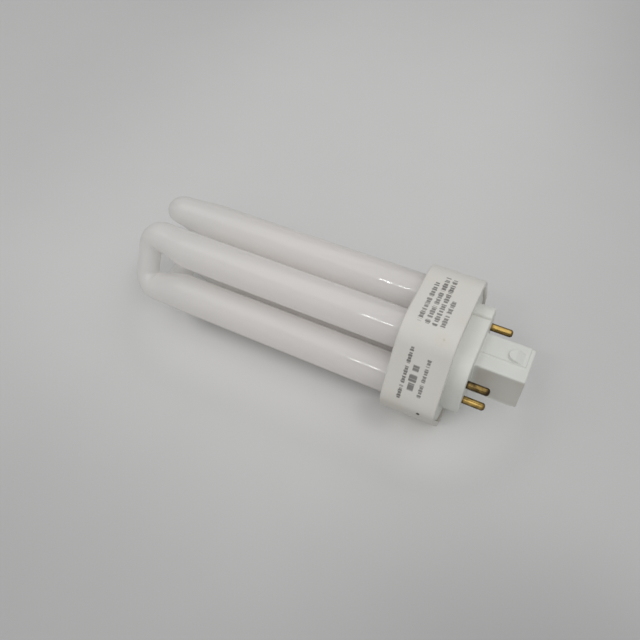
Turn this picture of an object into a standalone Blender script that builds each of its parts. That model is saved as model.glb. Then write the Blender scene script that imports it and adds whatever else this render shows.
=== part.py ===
"""Four pin compact fluorescent lamp with three U tubes, lying on one flat of its six-sided collar.

The lamp's axis runs along X. The glass points to -X and the contact pins to +X. The floor is
Z = 0 under the collar, and the origin lies below the middle of the lamp's length.
"""
import math

import bmesh
import bpy
from mathutils import Euler, Vector

MM = 0.001

# Overall lengths, taken from the seat face that the pins stand on
GLASS_REACH = 114.3 * MM
POST_LENGTH = 14.7 * MM
COLLAR_LENGTH = 16.5 * MM
PLATEAU_HEIGHT = 4.9 * MM

# Glass limbs: six, on a hexagon whose side is the limb pitch
LIMB_COUNT = 6
LIMB_DIAMETER = 12.0 * MM
LIMB_PITCH = 14.8 * MM
LIMB_ROOT_DEPTH = 10.4 * MM
ROOT_DOME_LENGTH = 2.5 * MM
ROOT_FLAT_DIAMETER = 6.0 * MM

# Pinched bend that joins the two limbs of a U
BEND_DIAMETER = 7.4 * MM
BEND_SHOULDER_DIAMETER = 9.8 * MM
BEND_CORNER_RADIUS = 4.6 * MM
BEND_SPREAD = 1.2 * MM
BEND_TAPER_LENGTH = 11.0 * MM

# Glass bridges between the U tubes, and the sealed exhaust tips
BRIDGE_DIAMETER = 4.2 * MM
BRIDGE_SETBACK = 2.6 * MM
EXHAUST_DIAMETER = 2.4 * MM
EXHAUST_LENGTH = 3.0 * MM
EXHAUST_TIP_DIAMETER = 0.9 * MM

# Collar housing
CORNER_RADIUS = 9.6 * MM
FRONT_WALL = 2.5 * MM
SIDE_WALL = 2.1 * MM
REBATE_WALL = 1.7 * MM
REBATE_DEPTH = 6.0 * MM
COLLAR_EDGE_ROUND = 0.7 * MM
SOCKET_CLEARANCE = 0.4 * MM

# Cement ring round each limb
CEMENT_THICKNESS = 0.9 * MM
CEMENT_LENGTH = 2.8 * MM

# Base cap: flange, skirt, plateau and keying rib
FLANGE_THICKNESS = 2.0 * MM
FLANGE_RECESS = 0.4 * MM
SKIRT_WALL = 1.4 * MM
SKIRT_DEPTH = 2.6 * MM
PLATEAU_DEPTH = 25.0 * MM
PLATEAU_CORNER = 8.0 * MM
PLATEAU_WALL = 1.5 * MM
PLATEAU_EDGE_ROUND = 0.5 * MM
SEAT_PLATE = 2.2 * MM
KEY_INSET = 1.7 * MM
KEY_RISE = 1.2 * MM
KEY_CORNER = 5.0 * MM
KEY_FLAT = 0.9 * MM
KEY_STEP_CORNER = 0.8 * MM

# Post, with a raised pad and a latch lug on its top and on its underside
POST_WIDTH = 12.5 * MM
POST_HEIGHT = 13.4 * MM
POST_OFFSET = 0.3 * MM
POST_WALL = 2.0 * MM
POST_END_WALL = 1.8 * MM
POST_EDGE_ROUND = 0.5 * MM
STRIP_WIDTH = 5.0 * MM
PAD_RISE = 0.45 * MM
PAD_SETBACK = 1.3 * MM
LATCH_LENGTH = 5.1 * MM
LATCH_WIDTH = 4.2 * MM
LATCH_RISE = 1.2 * MM
LATCH_INSET = 0.2 * MM
LATCH_TAIL_SINK = 0.3 * MM

# Contact pins
PIN_DIAMETER = 2.4 * MM
PIN_LENGTH = 6.7 * MM
PIN_ROW_SPAN = 23.0 * MM
PIN_PAIR_PITCH = 8.0 * MM
PIN_HEAD_DIAMETER = 3.2 * MM
PIN_HEAD_CLEARANCE = 0.4 * MM
PIN_HEAD_THICKNESS = 0.8 * MM
PIN_TAIL_LENGTH = 1.6 * MM
PIN_TIP_ROUND = 0.9 * MM
PIN_BORE_DIAMETER = 1.3 * MM
PIN_BORE_DEPTH = 5.0 * MM

# Lead wires
WIRE_DIAMETER = 0.6 * MM
WIRE_SPREAD = 4.4 * MM
WIRE_BORE_REACH = 1.6 * MM
# Share of a wire's run that each end's direction is carried over
WIRE_END_SHARE = 0.75

# Gap kept between pieces that touch on the real lamp
FIT_GAP = 0.3 * MM
# How far a cutter runs past the face that it opens
OVERRUN = 1.0 * MM
# How far a form that is joined to a body runs into it
JOIN_LAP = 0.5 * MM
# Distance within which points of one mesh are welded
WELD_DISTANCE = 0.01 * MM

# Facets
LIMB_BEVEL_RESOLUTION = 11
TAPER_STEPS = 5
CORNER_STEPS = 6
DOME_STEPS = 3
HEXAGON_ARC_STEPS = 6
OUTLINE_ARC_STEPS = 6
ROUND_SIDES = 32
SMALL_ROUND_SIDES = 18
WIRE_STEPS = 8

# Places along the axis
SEAT_X = (GLASS_REACH - POST_LENGTH) / 2
COLLAR_REAR_X = SEAT_X - PLATEAU_HEIGHT
COLLAR_FRONT_X = COLLAR_REAR_X - COLLAR_LENGTH
LIMB_ROOT_X = COLLAR_FRONT_X + LIMB_ROOT_DEPTH
GLASS_TIP_X = SEAT_X - GLASS_REACH
FLANGE_REAR_X = COLLAR_REAR_X - FLANGE_RECESS
FLANGE_FRONT_X = FLANGE_REAR_X - FLANGE_THICKNESS
POST_END_X = SEAT_X + POST_LENGTH
AXIS_Z = LIMB_PITCH * math.cos(math.pi / 6) + CORNER_RADIUS

# Width of the plateau, which has to hold both rows of pin heads
PLATEAU_CAVITY_WIDTH = PIN_ROW_SPAN + PIN_HEAD_DIAMETER + 2 * PIN_HEAD_CLEARANCE
PLATEAU_WIDTH = PLATEAU_CAVITY_WIDTH + 2 * PLATEAU_WALL
# Width of the key: the round of its step, its flat top and its outer corner
KEY_WIDTH = KEY_STEP_CORNER + KEY_FLAT + KEY_CORNER

# A solid drawn in its local XY plane and raised along local Z is turned to lie along world X
ALONG_X = Euler((math.pi / 2, 0.0, math.pi / 2))


def clear_scene():
    """Remove every object that the open file holds."""
    for scene_object in list(bpy.data.objects):
        bpy.data.objects.remove(scene_object, do_unlink=True)


def new_collection(name):
    """Make a collection and link it to the scene."""
    collection = bpy.data.collections.new(name)
    bpy.context.scene.collection.children.link(collection)
    return collection


def new_material(name, colour, roughness, metallic):
    """Make a Principled material with a plain colour, roughness and metallic value."""
    material = bpy.data.materials.new(name)
    material.use_nodes = True
    shader = material.node_tree.nodes["Principled BSDF"]
    shader.inputs["Base Color"].default_value = (*colour, 1.0)
    shader.inputs["Roughness"].default_value = roughness
    shader.inputs["Metallic"].default_value = metallic
    return material


def finish(part, material, smooth_angle=40.0):
    """Give a part its material and shade its round faces smooth."""
    part.data.materials.clear()
    part.data.materials.append(material)
    part.data.shade_smooth()
    part.data.set_sharp_from_angle(angle=math.radians(smooth_angle))


def as_tool(tool):
    """Mark an object as a cutter or guide that is not a part."""
    tool.hide_render = True
    tool.display_type = "WIRE"
    return tool


def curve_as_mesh(curve_object):
    """Replace a curve object by a mesh object with welded caps, in the same place."""
    depsgraph = bpy.context.evaluated_depsgraph_get()
    mesh = bpy.data.meshes.new_from_object(curve_object.evaluated_get(depsgraph))
    working = bmesh.new()
    working.from_mesh(mesh)
    bmesh.ops.remove_doubles(working, verts=working.verts, dist=WELD_DISTANCE)
    bmesh.ops.recalc_face_normals(working, faces=working.faces)
    working.to_mesh(mesh)
    working.free()
    name = curve_object.name
    collection = curve_object.users_collection[0]
    matrix = curve_object.matrix_world.copy()
    bpy.data.objects.remove(curve_object, do_unlink=True)
    mesh_object = bpy.data.objects.new(name, mesh)
    mesh_object.matrix_world = matrix
    collection.objects.link(mesh_object)
    return mesh_object


def prism(name, outline, start_x, end_x, collection):
    """Extrude a closed outline of (y, z) points about the lamp's axis from start_x to end_x."""
    curve = bpy.data.curves.new(name, "CURVE")
    curve.dimensions = "2D"
    curve.fill_mode = "BOTH"
    curve.extrude = (end_x - start_x) / 2
    spline = curve.splines.new("POLY")
    spline.points.add(len(outline) - 1)
    for point, (across, up) in zip(spline.points, outline):
        point.co = (across, up, 0.0, 1.0)
    spline.use_cyclic_u = True
    curve_object = bpy.data.objects.new(name, curve)
    curve_object.rotation_euler = ALONG_X
    curve_object.location = ((start_x + end_x) / 2, 0.0, AXIS_Z)
    collection.objects.link(curve_object)
    bpy.context.view_layer.update()
    return curve_as_mesh(curve_object)


def cylinder(name, diameter, start, end, sides, collection):
    """Add a cylinder whose end faces are centred on two points."""
    start = Vector(start)
    end = Vector(end)
    working = bmesh.new()
    bmesh.ops.create_cone(
        working,
        cap_ends=True,
        segments=sides,
        radius1=diameter / 2,
        radius2=diameter / 2,
        depth=(end - start).length,
    )
    mesh = bpy.data.meshes.new(name)
    working.to_mesh(mesh)
    working.free()
    body = bpy.data.objects.new(name, mesh)
    body.rotation_euler = (end - start).to_track_quat("Z", "Y").to_euler()
    body.location = (start + end) / 2
    collection.objects.link(body)
    return body


def combine(target, tool, operation):
    """Cut a tool from a target or join it to the target."""
    modifier = target.modifiers.new(tool.name, "BOOLEAN")
    modifier.operation = operation
    modifier.solver = "EXACT"
    modifier.object = tool


def round_edges(target, width, segments):
    """Round the sharp rims of a prism."""
    modifier = target.modifiers.new("edge_round", "BEVEL")
    modifier.width = width
    modifier.segments = segments
    modifier.limit_method = "ANGLE"
    modifier.angle_limit = math.radians(40.0)


def limb_centre(index):
    """Return the (y, z) offset of a limb from the lamp's axis."""
    angle = math.radians(60.0 * index)
    return LIMB_PITCH * math.cos(angle), LIMB_PITCH * math.sin(angle)


def hexagon_outline(corner_radius):
    """Outline of the hull round six circles that are centred on the limbs."""
    points = []
    for index in range(LIMB_COUNT):
        across, up = limb_centre(index)
        for step in range(HEXAGON_ARC_STEPS + 1):
            angle = math.radians(60.0 * index - 30.0 + 60.0 * step / HEXAGON_ARC_STEPS)
            corner_y = across + corner_radius * math.cos(angle)
            corner_z = up + corner_radius * math.sin(angle)
            points.append((corner_y, corner_z))
    return points


def rounded_rectangle(width, height, corners, across=0.0, up=0.0):
    """Outline of a rectangle centred on (across, up), with a radius for each of its corners.

    The corners are listed anticlockwise from the one at the highest y and z.
    """
    points = []
    for quadrant, corner in enumerate(corners):
        side_y = 1.0 if quadrant in (0, 3) else -1.0
        side_z = 1.0 if quadrant in (0, 1) else -1.0
        centre_y = across + side_y * (width / 2 - corner)
        centre_z = up + side_z * (height / 2 - corner)
        for step in range(OUTLINE_ARC_STEPS + 1):
            angle = math.radians(90.0 * quadrant + 90.0 * step / OUTLINE_ARC_STEPS)
            corner_y = centre_y + corner * math.cos(angle)
            corner_z = centre_z + corner * math.sin(angle)
            points.append((corner_y, corner_z))
    return points


def smoothstep(value):
    """Ease from 0 to 1 with a level start and end."""
    return value * value * (3.0 - 2.0 * value)


def half_tube_stations():
    """List (x, offset from the U's middle plane, tube radius) from a limb's root to the bend's middle.

    The limb keeps its diameter up to the taper, leans out by the spread and narrows to the
    shoulder. A quarter arc then turns it into the narrower crossbar of the bend.
    """
    limb_radius = LIMB_DIAMETER / 2
    stations = []
    for step in range(DOME_STEPS + 1):
        angle = math.radians(90.0 * step / DOME_STEPS)
        fall = limb_radius - ROOT_FLAT_DIAMETER / 2
        radius = ROOT_FLAT_DIAMETER / 2 + fall * math.sin(angle)
        x = LIMB_ROOT_X - ROOT_DOME_LENGTH * (1.0 - math.cos(angle))
        stations.append((x, LIMB_PITCH / 2, radius))
    corner_x = GLASS_TIP_X + BEND_DIAMETER / 2 + BEND_CORNER_RADIUS
    for step in range(TAPER_STEPS + 1):
        share = step / TAPER_STEPS
        eased = smoothstep(share)
        x = corner_x + BEND_TAPER_LENGTH * (1.0 - share)
        offset = LIMB_PITCH / 2 + BEND_SPREAD * eased
        radius = limb_radius + (BEND_SHOULDER_DIAMETER / 2 - limb_radius) * eased
        stations.append((x, offset, radius))
    for step in range(1, CORNER_STEPS + 1):
        share = step / CORNER_STEPS
        angle = math.radians(90.0 * share)
        x = corner_x - BEND_CORNER_RADIUS * math.sin(angle)
        offset = LIMB_PITCH / 2 + BEND_SPREAD - BEND_CORNER_RADIUS * (1.0 - math.cos(angle))
        narrowing = (BEND_SHOULDER_DIAMETER - BEND_DIAMETER) * smoothstep(share)
        radius = (BEND_SHOULDER_DIAMETER - narrowing) / 2
        stations.append((x, offset, radius))
    return stations


def u_tube(name, first_limb, collection):
    """Sweep one U of glass through two neighbouring limbs and their bend."""
    first = Vector((0.0, *limb_centre(first_limb)))
    second = Vector((0.0, *limb_centre(first_limb + 1)))
    middle = (first + second) / 2
    outward = (first - middle).normalized()
    half = half_tube_stations()
    stations = [(x, offset, radius) for x, offset, radius in half]
    stations += [(x, -offset, radius) for x, offset, radius in reversed(half)]
    curve = bpy.data.curves.new(name, "CURVE")
    curve.dimensions = "3D"
    curve.bevel_depth = 1.0
    curve.bevel_resolution = LIMB_BEVEL_RESOLUTION
    curve.use_fill_caps = True
    spline = curve.splines.new("POLY")
    spline.points.add(len(stations) - 1)
    for point, (x, offset, radius) in zip(spline.points, stations):
        place = Vector((x, 0.0, AXIS_Z)) + middle + outward * offset
        point.co = (*place, 1.0)
        point.radius = radius
    curve_object = bpy.data.objects.new(name, curve)
    collection.objects.link(curve_object)
    bpy.context.view_layer.update()
    return curve_as_mesh(curve_object)


def exhaust_tip(name, limb, collection):
    """Add the drawn-off glass tip at the root of a limb that holds an electrode."""
    across, up = limb_centre(limb)
    working = bmesh.new()
    bmesh.ops.create_cone(
        working,
        cap_ends=True,
        segments=SMALL_ROUND_SIDES,
        radius1=EXHAUST_DIAMETER / 2,
        radius2=EXHAUST_TIP_DIAMETER / 2,
        depth=EXHAUST_LENGTH + JOIN_LAP,
    )
    mesh = bpy.data.meshes.new(name)
    working.to_mesh(mesh)
    working.free()
    tip = bpy.data.objects.new(name, mesh)
    tip.rotation_euler = ALONG_X
    tip.location = (LIMB_ROOT_X + (EXHAUST_LENGTH - JOIN_LAP) / 2, across, AXIS_Z + up)
    collection.objects.link(tip)
    return tip


def build_vessel(parts, tools, material):
    """Join three U tubes with two bridges and two exhaust tips into one glass body."""
    vessel = u_tube("discharge_vessel", 2, parts)
    for number, first_limb in enumerate((4, 0), start=2):
        tube = as_tool(u_tube(f"u_tube_{number}", first_limb, tools))
        combine(vessel, tube, "UNION")
    bridge_x = LIMB_ROOT_X - BRIDGE_SETBACK
    for low_limb, high_limb in ((3, 4), (5, 0)):
        low_y, low_z = limb_centre(low_limb)
        high_y, high_z = limb_centre(high_limb)
        start = (bridge_x, low_y, AXIS_Z + low_z)
        end = (bridge_x, high_y, AXIS_Z + high_z)
        name = f"bridge_{low_limb}_{high_limb}"
        bridge = cylinder(name, BRIDGE_DIAMETER, start, end, SMALL_ROUND_SIDES, tools)
        combine(vessel, as_tool(bridge), "UNION")
    for limb in (1, 2):
        combine(vessel, as_tool(exhaust_tip(f"exhaust_tip_{limb}", limb, tools)), "UNION")
    finish(vessel, material)
    return vessel


def build_collar(parts, tools, material):
    """Mould the six-sided collar: a thin front wall with six sockets and an open, rebated rear."""
    collar = prism("collar_housing", hexagon_outline(CORNER_RADIUS), COLLAR_FRONT_X, COLLAR_REAR_X, parts)
    round_edges(collar, COLLAR_EDGE_ROUND, 3)
    inner = prism(
        "collar_cavity",
        hexagon_outline(CORNER_RADIUS - SIDE_WALL),
        COLLAR_FRONT_X + FRONT_WALL,
        COLLAR_REAR_X + OVERRUN,
        tools,
    )
    combine(collar, as_tool(inner), "DIFFERENCE")
    rebate = prism(
        "collar_rebate",
        hexagon_outline(CORNER_RADIUS - REBATE_WALL),
        COLLAR_REAR_X - REBATE_DEPTH,
        COLLAR_REAR_X + OVERRUN,
        tools,
    )
    combine(collar, as_tool(rebate), "DIFFERENCE")
    for limb in range(LIMB_COUNT):
        across, up = limb_centre(limb)
        socket = cylinder(
            f"socket_{limb + 1}",
            LIMB_DIAMETER + 2 * SOCKET_CLEARANCE,
            (COLLAR_FRONT_X - OVERRUN, across, AXIS_Z + up),
            (COLLAR_FRONT_X + FRONT_WALL + OVERRUN, across, AXIS_Z + up),
            ROUND_SIDES,
            tools,
        )
        combine(collar, as_tool(socket), "DIFFERENCE")
    finish(collar, material)
    return collar


def build_cement_rings(parts, tools, material):
    """Add the ring of basing cement that holds each limb behind its socket."""
    start_x = COLLAR_FRONT_X + FRONT_WALL + FIT_GAP
    bore_diameter = LIMB_DIAMETER + 2 * FIT_GAP
    for limb in range(LIMB_COUNT):
        across, up = limb_centre(limb)
        ring = cylinder(
            f"cement_ring_{limb + 1}",
            bore_diameter + 2 * CEMENT_THICKNESS,
            (start_x, across, AXIS_Z + up),
            (start_x + CEMENT_LENGTH, across, AXIS_Z + up),
            ROUND_SIDES,
            parts,
        )
        bore = cylinder(
            f"cement_bore_{limb + 1}",
            bore_diameter,
            (start_x - OVERRUN, across, AXIS_Z + up),
            (start_x + CEMENT_LENGTH + OVERRUN, across, AXIS_Z + up),
            ROUND_SIDES,
            tools,
        )
        combine(ring, as_tool(bore), "DIFFERENCE")
        finish(ring, material)


def latch_lug(name, side, tools):
    """Add a D-shaped lug: level behind its round end, then a ramp that falls to the post's end."""
    near_y = POST_OFFSET - POST_WIDTH / 2 + STRIP_WIDTH + LATCH_INSET
    radius = LATCH_WIDTH / 2
    end_x = POST_END_X - PAD_SETBACK - JOIN_LAP
    crest_x = end_x - LATCH_LENGTH + radius
    pad_z = POST_HEIGHT / 2 + PAD_RISE
    tail_z = pad_z - LATCH_TAIL_SINK
    rim = [(end_x, near_y, tail_z), (end_x, near_y + LATCH_WIDTH, tail_z)]
    arc_steps = 2 * OUTLINE_ARC_STEPS
    for step in range(arc_steps + 1):
        angle = math.radians(90.0 + 180.0 * step / arc_steps)
        x = crest_x + radius * math.cos(angle)
        y = near_y + radius + radius * math.sin(angle)
        rim.append((x, y, pad_z + LATCH_RISE))
    count = len(rim)
    foot = [(x, y, POST_HEIGHT / 2 - JOIN_LAP) for x, y, z in rim]
    faces = [
        (0, 1, 2, count - 1),
        tuple(range(2, count)),
        tuple(range(2 * count - 1, count - 1, -1)),
    ]
    for index in range(count):
        following = (index + 1) % count
        faces.append((count + index, count + following, following, index))
    mesh = bpy.data.meshes.new(name)
    mesh.from_pydata(rim + foot, [], faces)
    lug = bpy.data.objects.new(name, mesh)
    lug.location = (0.0, 0.0, AXIS_Z)
    if side < 0:
        lug.rotation_euler = (math.pi, 0.0, 0.0)
    tools.objects.link(lug)
    return lug


def shape_pad(base, side, tools):
    """Cut the post's top (side 1) or underside (side -1) back to leave a pad, and add its lug.

    The underside is the top turned by half a turn about the lamp's axis.
    """
    name = "upper" if side > 0 else "lower"
    reach = POST_WIDTH / 2 + POST_OFFSET + OVERRUN
    strip_y = side * (POST_OFFSET - POST_WIDTH / 2 + STRIP_WIDTH)
    face_z = side * POST_HEIGHT / 2
    low_z, high_z = sorted((face_z, face_z + side * (PAD_RISE + OVERRUN)))
    cuts = (
        ("strip", sorted((-side * reach, strip_y)), SEAT_X),
        ("rim", (-reach, reach), POST_END_X - PAD_SETBACK),
    )
    for label, (low_y, high_y), start_x in cuts:
        outline = [(low_y, low_z), (high_y, low_z), (high_y, high_z), (low_y, high_z)]
        cutter = prism(f"{name}_{label}", outline, start_x, POST_END_X + OVERRUN, tools)
        combine(base, as_tool(cutter), "DIFFERENCE")
    combine(base, as_tool(latch_lug(f"{name}_lug", side, tools)), "UNION")


def build_base(parts, tools, material):
    """Mould the base cap: flange and skirt in the collar, plateau with its key, and the hollow post."""
    flange_outline = hexagon_outline(CORNER_RADIUS - REBATE_WALL - FIT_GAP)
    base = prism("base_cap", flange_outline, FLANGE_FRONT_X - SKIRT_DEPTH, FLANGE_REAR_X, parts)
    skirt_cavity = prism(
        "skirt_cavity",
        hexagon_outline(CORNER_RADIUS - REBATE_WALL - FIT_GAP - SKIRT_WALL),
        FLANGE_FRONT_X - SKIRT_DEPTH - OVERRUN,
        FLANGE_FRONT_X,
        tools,
    )
    combine(base, as_tool(skirt_cavity), "DIFFERENCE")

    plateau_outline = rounded_rectangle(PLATEAU_WIDTH, PLATEAU_DEPTH, [PLATEAU_CORNER] * 4)
    plateau = prism("plateau", plateau_outline, FLANGE_REAR_X - JOIN_LAP, SEAT_X, tools)
    round_edges(plateau, PLATEAU_EDGE_ROUND, 2)
    combine(base, as_tool(plateau), "UNION")

    key_outline = rounded_rectangle(
        KEY_WIDTH,
        PLATEAU_DEPTH / 2,
        (KEY_CORNER, KEY_STEP_CORNER, KEY_STEP_CORNER, KEY_STEP_CORNER),
        PLATEAU_WIDTH / 2 - KEY_WIDTH / 2 - KEY_INSET,
        PLATEAU_DEPTH / 4 + KEY_RISE,
    )
    key = prism("plateau_key", key_outline, FLANGE_REAR_X - JOIN_LAP, SEAT_X, tools)
    round_edges(key, PLATEAU_EDGE_ROUND, 2)
    combine(base, as_tool(key), "UNION")

    post_outline = rounded_rectangle(
        POST_WIDTH, POST_HEIGHT + 2 * PAD_RISE, [POST_EDGE_ROUND] * 4, POST_OFFSET
    )
    post = prism("post", post_outline, SEAT_X - JOIN_LAP, POST_END_X, tools)
    round_edges(post, POST_EDGE_ROUND, 2)
    combine(base, as_tool(post), "UNION")
    for side in (1, -1):
        shape_pad(base, side, tools)

    plateau_cavity = prism(
        "plateau_cavity",
        rounded_rectangle(
            PLATEAU_CAVITY_WIDTH,
            PLATEAU_DEPTH - 2 * PLATEAU_WALL,
            [PLATEAU_CORNER - PLATEAU_WALL] * 4,
        ),
        FLANGE_FRONT_X - OVERRUN,
        SEAT_X - SEAT_PLATE,
        tools,
    )
    combine(base, as_tool(plateau_cavity), "DIFFERENCE")
    post_cavity = prism(
        "post_cavity",
        rounded_rectangle(
            POST_WIDTH - 2 * POST_WALL,
            POST_HEIGHT - 2 * POST_WALL,
            [POST_EDGE_ROUND] * 4,
            POST_OFFSET,
        ),
        SEAT_X - SEAT_PLATE - OVERRUN,
        POST_END_X - POST_END_WALL,
        tools,
    )
    combine(base, as_tool(post_cavity), "DIFFERENCE")
    for number, (across, up) in enumerate(pin_places(), start=1):
        hole = cylinder(
            f"pin_hole_{number}",
            PIN_DIAMETER + 2 * FIT_GAP,
            (SEAT_X - SEAT_PLATE - OVERRUN, across, AXIS_Z + up),
            (SEAT_X + OVERRUN, across, AXIS_Z + up),
            SMALL_ROUND_SIDES,
            tools,
        )
        combine(base, as_tool(hole), "DIFFERENCE")
    finish(base, material)
    return base


def pin_places():
    """Return the (y, z) offsets of the four pins, the front pair first and the upper pin of each first."""
    return [
        (side * PIN_ROW_SPAN / 2, level * PIN_PAIR_PITCH / 2)
        for side in (-1, 1)
        for level in (1, -1)
    ]


def pin_profile():
    """Half section of a pin as (radius, height) points, from its tip down the outer side to its bore."""
    radius = PIN_DIAMETER / 2
    flat = radius - PIN_TIP_ROUND
    tip = [(0.0, PIN_LENGTH)]
    for step in range(DOME_STEPS + 1):
        angle = math.radians(90.0 * step / DOME_STEPS)
        height = PIN_LENGTH - PIN_TIP_ROUND * (1.0 - math.cos(angle))
        tip.append((flat + PIN_TIP_ROUND * math.sin(angle), height))
    head_top = -SEAT_PLATE - FIT_GAP
    head_bottom = head_top - PIN_HEAD_THICKNESS
    tail = head_bottom - PIN_TAIL_LENGTH
    bore = PIN_BORE_DIAMETER / 2
    return tip + [
        (radius, head_top),
        (PIN_HEAD_DIAMETER / 2, head_top),
        (PIN_HEAD_DIAMETER / 2, head_bottom),
        (radius, head_bottom),
        (radius, tail),
        (bore, tail),
        (bore, tail + PIN_BORE_DEPTH),
        (0.0, tail + PIN_BORE_DEPTH),
    ]


def build_pins(parts, material):
    """Turn the four brass contact pins, headed behind the seat plate and bored for their leads."""
    places = [(radius, 0.0, height) for radius, height in pin_profile()]
    edges = [(index, index + 1) for index in range(len(places) - 1)]
    mesh = bpy.data.meshes.new("contact_pin")
    mesh.from_pydata(places, edges, [])
    for number, (across, up) in enumerate(pin_places(), start=1):
        pin = bpy.data.objects.new(f"contact_pin_{number}", mesh.copy())
        pin.rotation_euler = ALONG_X
        pin.location = (SEAT_X, across, AXIS_Z + up)
        turn = pin.modifiers.new("turn", "SCREW")
        turn.axis = "Z"
        turn.steps = SMALL_ROUND_SIDES
        turn.render_steps = SMALL_ROUND_SIDES
        turn.use_merge_vertices = True
        turn.merge_threshold = WELD_DISTANCE
        turn.use_smooth_shade = True
        parts.objects.link(pin)
        pin.data.materials.append(material)


def wire_route(limb, sideways, pin):
    """Points of a lead wire from a limb's root, behind the flange, into its pin's bore.

    The run is a cubic curve: it leaves the glass along the axis and enters the bore along it.
    """
    limb_y, limb_z = limb_centre(limb)
    pin_y, pin_z = pin
    start = Vector((LIMB_ROOT_X + FIT_GAP, limb_y + sideways, AXIS_Z + limb_z))
    tail_x = SEAT_X - SEAT_PLATE - FIT_GAP - PIN_HEAD_THICKNESS - PIN_TAIL_LENGTH
    mouth = Vector((tail_x, pin_y, AXIS_Z + pin_z))
    reach = (mouth.x - start.x) * WIRE_END_SHARE
    leave = start + Vector((reach, 0.0, 0.0))
    arrive = mouth - Vector((reach, 0.0, 0.0))
    points = []
    for step in range(WIRE_STEPS + 1):
        t = step / WIRE_STEPS
        near = start * (1 - t) ** 3 + leave * (3 * t * (1 - t) ** 2)
        far = arrive * (3 * t * t * (1 - t)) + mouth * t ** 3
        points.append(near + far)
    points.append(mouth + Vector((WIRE_BORE_REACH, 0.0, 0.0)))
    return points


def build_wires(parts, material):
    """Run two lead wires from each electrode limb to the pin pair on its side."""
    places = pin_places()
    routes = (
        (2, -WIRE_SPREAD / 2, places[0]),
        (2, WIRE_SPREAD / 2, places[1]),
        (1, WIRE_SPREAD / 2, places[2]),
        (1, -WIRE_SPREAD / 2, places[3]),
    )
    for number, (limb, sideways, pin) in enumerate(routes, start=1):
        curve = bpy.data.curves.new(f"lead_wire_{number}", "CURVE")
        curve.dimensions = "3D"
        curve.bevel_depth = WIRE_DIAMETER / 2
        curve.bevel_resolution = 2
        curve.use_fill_caps = True
        route = wire_route(limb, sideways, pin)
        spline = curve.splines.new("POLY")
        spline.points.add(len(route) - 1)
        for point, place in zip(spline.points, route):
            point.co = (*place, 1.0)
        wire = bpy.data.objects.new(f"lead_wire_{number}", curve)
        curve.materials.append(material)
        parts.objects.link(wire)


def build_lamp():
    """Build every piece of the lamp."""
    clear_scene()
    parts = new_collection("compact_fluorescent_lamp")
    tools = new_collection("cutters_and_guides")
    glass = new_material("phosphor_coated_glass", (0.86, 0.85, 0.84), 0.12, 0.0)
    warm_plastic = new_material("warm_white_plastic", (0.83, 0.80, 0.72), 0.45, 0.0)
    cool_plastic = new_material("cool_white_plastic", (0.84, 0.85, 0.83), 0.42, 0.0)
    brass = new_material("brass", (0.62, 0.44, 0.17), 0.32, 1.0)
    cement = new_material("basing_cement", (0.74, 0.72, 0.68), 0.9, 0.0)
    lead = new_material("lead_wire_metal", (0.62, 0.6, 0.56), 0.35, 1.0)
    build_vessel(parts, tools, glass)
    build_collar(parts, tools, warm_plastic)
    build_cement_rings(parts, tools, cement)
    build_base(parts, tools, cool_plastic)
    build_pins(parts, brass)
    build_wires(parts, lead)


build_lamp()
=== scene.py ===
"""Looks of a four pin compact fluorescent lamp with three U tubes, lying on a pale floor.

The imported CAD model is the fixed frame: X runs along the lamp from the glass bends to the guide
post, Z is up, and the lamp lies on one flat of its six-sided collar. Lengths are in metres.
"""
import logging
import math
from collections.abc import Callable, Sequence
from dataclasses import dataclass, field
from enum import Enum
from functools import partial
from typing import Union

import bmesh
import bpy
import numpy as np
from mathutils import Matrix, Vector


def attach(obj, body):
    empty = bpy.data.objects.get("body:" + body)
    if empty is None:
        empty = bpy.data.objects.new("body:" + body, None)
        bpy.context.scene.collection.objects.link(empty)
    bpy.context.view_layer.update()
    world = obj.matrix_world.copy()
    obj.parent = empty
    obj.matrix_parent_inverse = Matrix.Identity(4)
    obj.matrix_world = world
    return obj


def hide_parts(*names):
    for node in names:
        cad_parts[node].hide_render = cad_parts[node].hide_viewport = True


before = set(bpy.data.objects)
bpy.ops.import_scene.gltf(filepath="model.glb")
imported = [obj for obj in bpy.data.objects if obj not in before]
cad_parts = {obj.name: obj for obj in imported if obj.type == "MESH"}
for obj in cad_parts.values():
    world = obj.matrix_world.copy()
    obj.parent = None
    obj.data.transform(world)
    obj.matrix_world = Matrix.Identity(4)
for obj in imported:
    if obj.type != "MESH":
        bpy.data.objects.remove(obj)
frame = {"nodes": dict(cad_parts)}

MM = 0.001
LIMB_COUNT = 6
SIXTH_TURN = math.pi / 3
QUARTER_TURN = math.pi / 2
WELD_DISTANCE = 0.002 * MM
FLAT_FACE_WEIGHT = 80
RIM_STEPS = 6
SMALL_ROUND_STEPS = 4
CAP_SHARES = (0.94, 0.5, 0.0)

Point = tuple[float, float, float]
Colour = tuple[float, float, float]
Span = tuple[float, float]
Row = tuple[float, np.ndarray]
Value = Union["Signal", float]
Paint = Union["Signal", Colour]
Input = Union["Signal", Colour, float]

log = logging.getLogger("lamp")


class Slot(Enum):
    """The record's material slots."""

    GLASS = "glass_tube"
    COLLAR = "collar_plastic"
    BASE = "base_plastic"
    BRASS = "pin_brass"
    CEMENT = "cement"
    WIRE = "lead_wire"


# ---------------------------------------------------------------- shader expressions


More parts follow.
